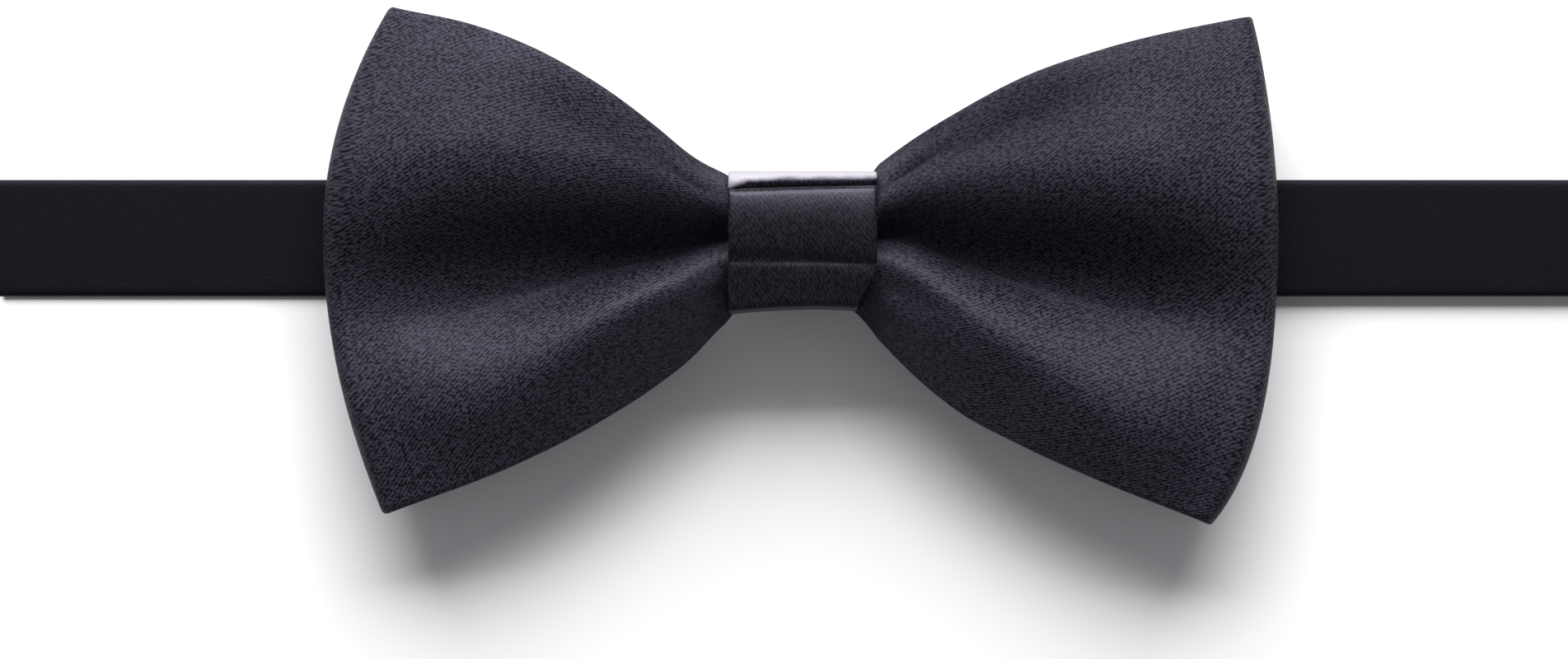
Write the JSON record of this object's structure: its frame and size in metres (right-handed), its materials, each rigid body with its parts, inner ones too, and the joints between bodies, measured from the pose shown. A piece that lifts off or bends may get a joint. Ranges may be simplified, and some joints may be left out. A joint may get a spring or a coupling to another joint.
{
  "type": "pre-tied bow tie",
  "caption": "Pre-tied satin bow tie: a pinched bow held by a soft knot wrap, on an adjustable neck band that closes with a hook and eye, lying with its band folded behind it.",
  "frame": {"origin": "middle of the outline, on the surface the tie lies on", "axes": "+X along the neck band, to the right when the bow's face is looked at; +Y up the shirt front; +Z out of the bow's face"},
  "size_m": [0.2156, 0.0662, 0.0169],
  "materials": {
    "satin": "black woven satin with a cool grey sheen",
    "band_satin": "the same black satin, pressed flat, with less sheen",
    "felt": "charcoal non-woven interlining",
    "thread": "black sewing thread",
    "plated_metal": "bright nickel-plated steel"
  },
  "bodies": {
    "bow": {"bow_satin": "satin", "bow_interlining": "felt", "knot_wrap": "satin", "knot_interlining": "felt", "gather_thread": "thread", "wrap_stitches": "thread", "neck_band_front": "band_satin", "band_fold_left": "band_satin", "band_fold_right": "band_satin"},
    "left_band": {"neck_band_left": "band_satin", "eye_bar_tack": "thread"},
    "eye": {"eye": "plated_metal"},
    "right_band": {"neck_band_right": "band_satin", "strap_running_end": "band_satin"},
    "strap_loop": {"strap_end_loop": "band_satin", "strap_return": "band_satin"},
    "hook": {"hook": "plated_metal"},
    "slider": {"slider": "plated_metal", "slider_bar_tack": "thread"}
  },
  "joints": [
    {"name": "left_fold", "type": "hinge", "parent": "bow", "child": "left_band", "pos_m": [-0.10624, 0.00355, 0.00282], "axis": [0, 1, 0], "range_deg": [0, 175], "deforming": ["band_fold_left"]},
    {"name": "right_fold", "type": "hinge", "parent": "bow", "child": "right_band", "pos_m": [0.10624, 0.00355, 0.00282], "axis": [0, -1, 0], "range_deg": [0, 175], "deforming": ["band_fold_right"]},
    {"name": "eye_swing", "type": "hinge", "parent": "left_band", "child": "eye", "pos_m": [-0.022, 0.00355, 0.0016], "axis": [0, 1, 0], "range_deg": [0, 90]},
    {"name": "strap_adjust", "type": "slide", "parent": "right_band", "child": "strap_loop", "axis": [1, 0, 0], "range_m": [0, 0.025], "deforming": ["strap_running_end"]},
    {"name": "slider_slide", "type": "slide", "parent": "strap_loop", "child": "slider", "axis": [1, 0, 0], "range_m": [0, 0.025], "deforming": ["strap_return"]},
    {"name": "hook_swing", "type": "hinge", "parent": "strap_loop", "child": "hook", "pos_m": [0.022, 0.00355, 0.0016], "axis": [0, -1, 0], "range_deg": [0, 90]}
  ],
  "couplings": [
    {"joint": "slider_slide", "follows": "strap_adjust", "ratio": 1}
  ]
}
